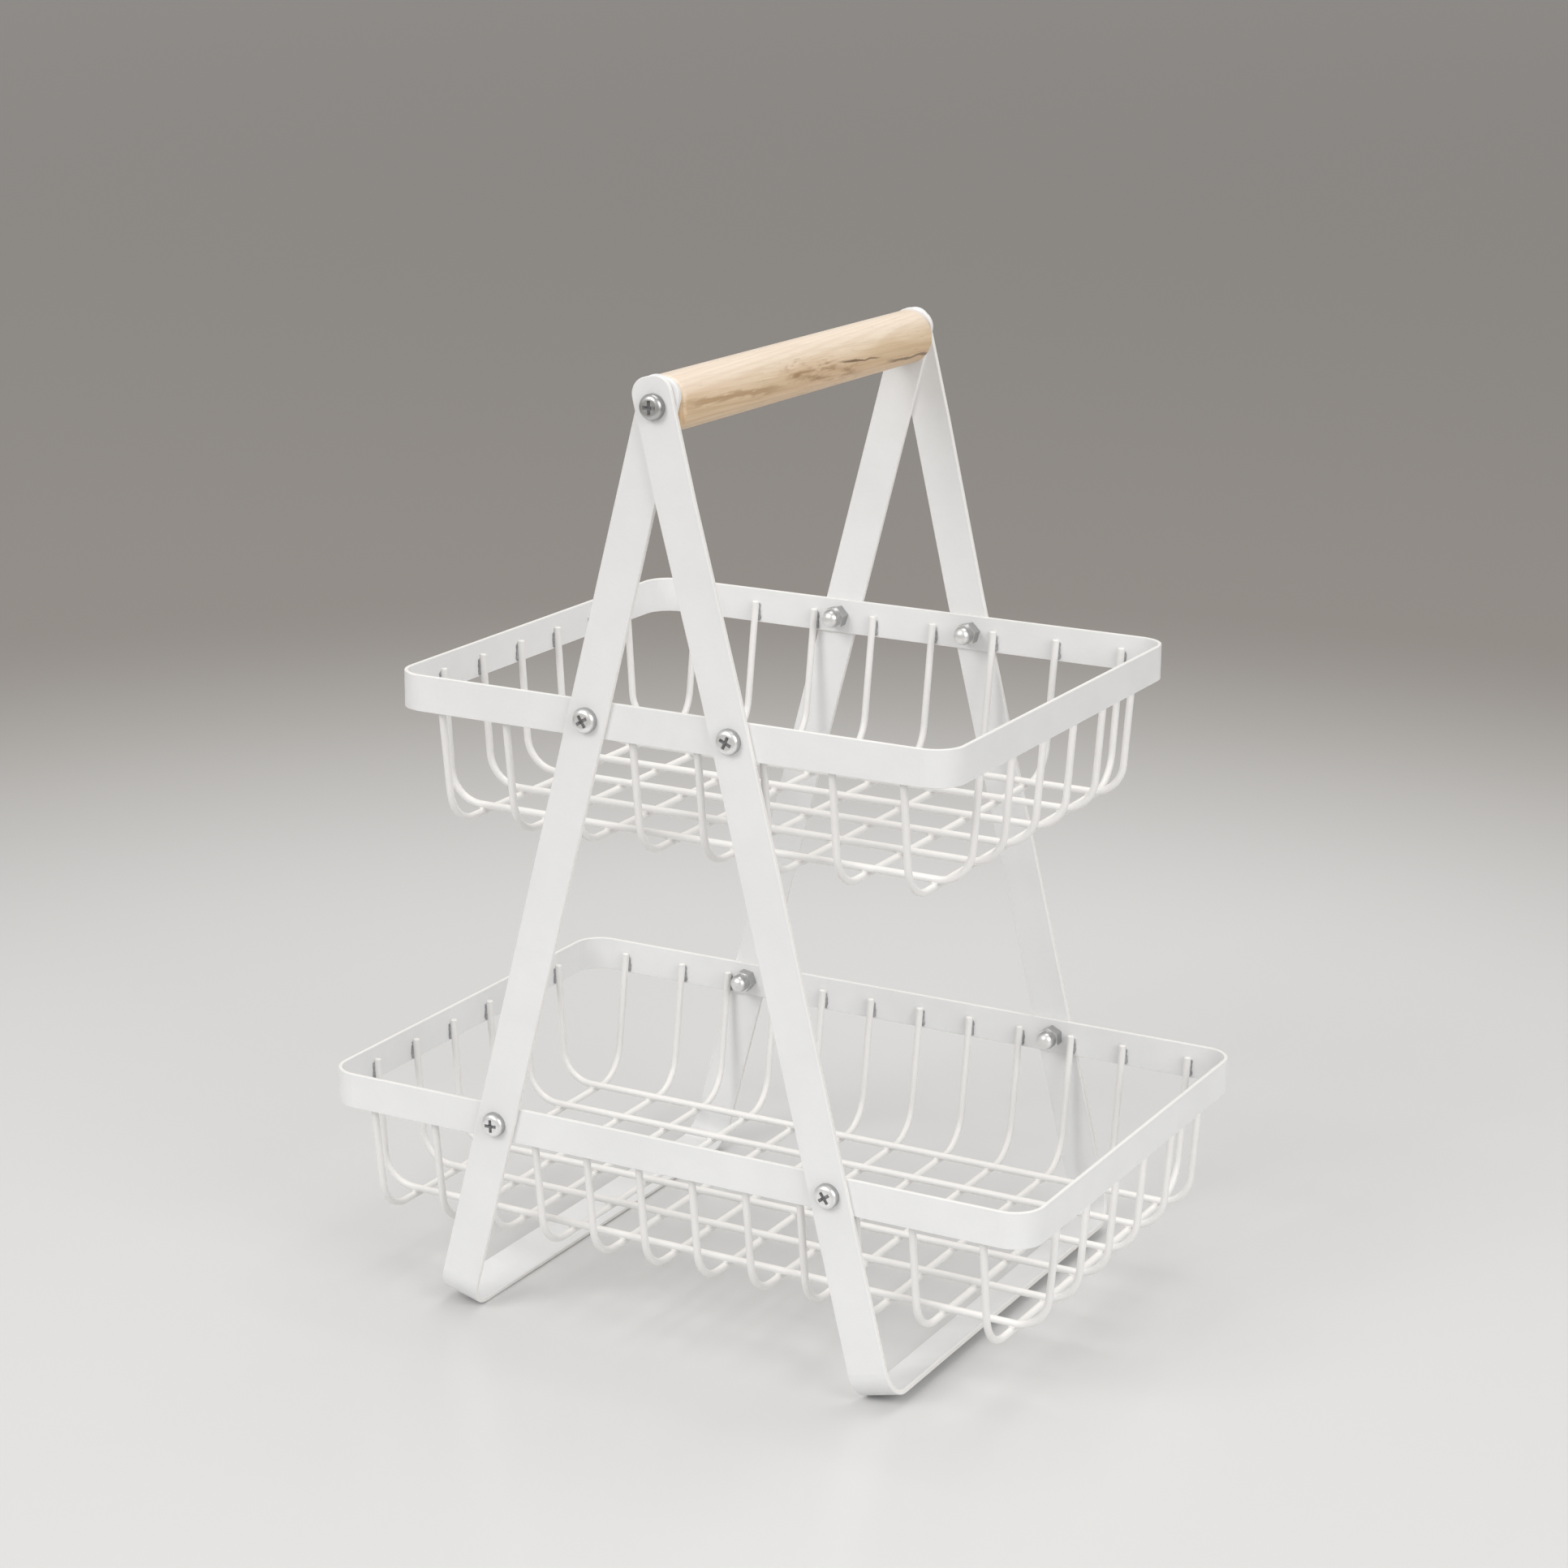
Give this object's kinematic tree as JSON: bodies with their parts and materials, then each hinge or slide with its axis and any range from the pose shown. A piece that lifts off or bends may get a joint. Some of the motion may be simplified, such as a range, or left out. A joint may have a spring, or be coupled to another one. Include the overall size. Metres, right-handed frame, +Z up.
{
  "type": "tiered wire basket",
  "caption": "Two-tier open wire basket: shallow trays of welded wire in flat rims, screwed to an A-shaped frame of crossing flat straps under a turning wooden carrying grip.",
  "frame": {"origin": "on the floor under the middle of both baskets, between the foot bars", "axes": "+Z up, +X along the long side of the baskets, +Y along the handle towards the back"},
  "size_m": [0.302, 0.2116, 0.3724],
  "materials": {
    "powder_coat": "satin white powder coat",
    "plated_steel": "bright zinc plate",
    "wood": "clear satin lacquer"
  },
  "bodies": {
    "frame": {"left_strap": "powder_coat", "right_strap": "powder_coat", "upper_rim": "powder_coat", "lower_rim": "powder_coat", "upper_cross_wire_1": "powder_coat", "upper_cross_wire_2": "powder_coat", "upper_cross_wire_3": "powder_coat", "upper_cross_wire_4": "powder_coat", "upper_cross_wire_5": "powder_coat", "upper_cross_wire_6": "powder_coat", "upper_cross_wire_7": "powder_coat", "upper_cross_wire_8": "powder_coat", "upper_long_wire_1": "powder_coat", "upper_long_wire_2": "powder_coat", "upper_long_wire_3": "powder_coat", "upper_long_wire_4": "powder_coat", "upper_long_wire_5": "powder_coat", "upper_long_wire_6": "powder_coat", "lower_cross_wire_1": "powder_coat", "lower_cross_wire_2": "powder_coat", "lower_cross_wire_3": "powder_coat", "lower_cross_wire_4": "powder_coat", "lower_cross_wire_5": "powder_coat", "lower_cross_wire_6": "powder_coat", "lower_cross_wire_7": "powder_coat", "lower_cross_wire_8": "powder_coat", "lower_cross_wire_9": "powder_coat", "lower_cross_wire_10": "powder_coat", "lower_cross_wire_11": "powder_coat", "lower_cross_wire_12": "powder_coat", "lower_long_wire_1": "powder_coat", "lower_long_wire_2": "powder_coat", "lower_long_wire_3": "powder_coat", "lower_long_wire_4": "powder_coat", "lower_long_wire_5": "powder_coat", "lower_long_wire_6": "powder_coat", "upper_rim_screws": "plated_steel", "lower_rim_screws": "plated_steel", "upper_cap_nuts": "plated_steel", "lower_cap_nuts": "plated_steel"},
    "grip": {"handle_grip": "wood", "handle_screw_front": "plated_steel", "handle_screw_back": "plated_steel"}
  },
  "joints": [
    {"name": "grip_turn", "type": "hinge", "parent": "frame", "child": "grip", "pos_m": [0, 0, 0.3614], "axis": [0, 1, 0], "continuous": true}
  ]
}
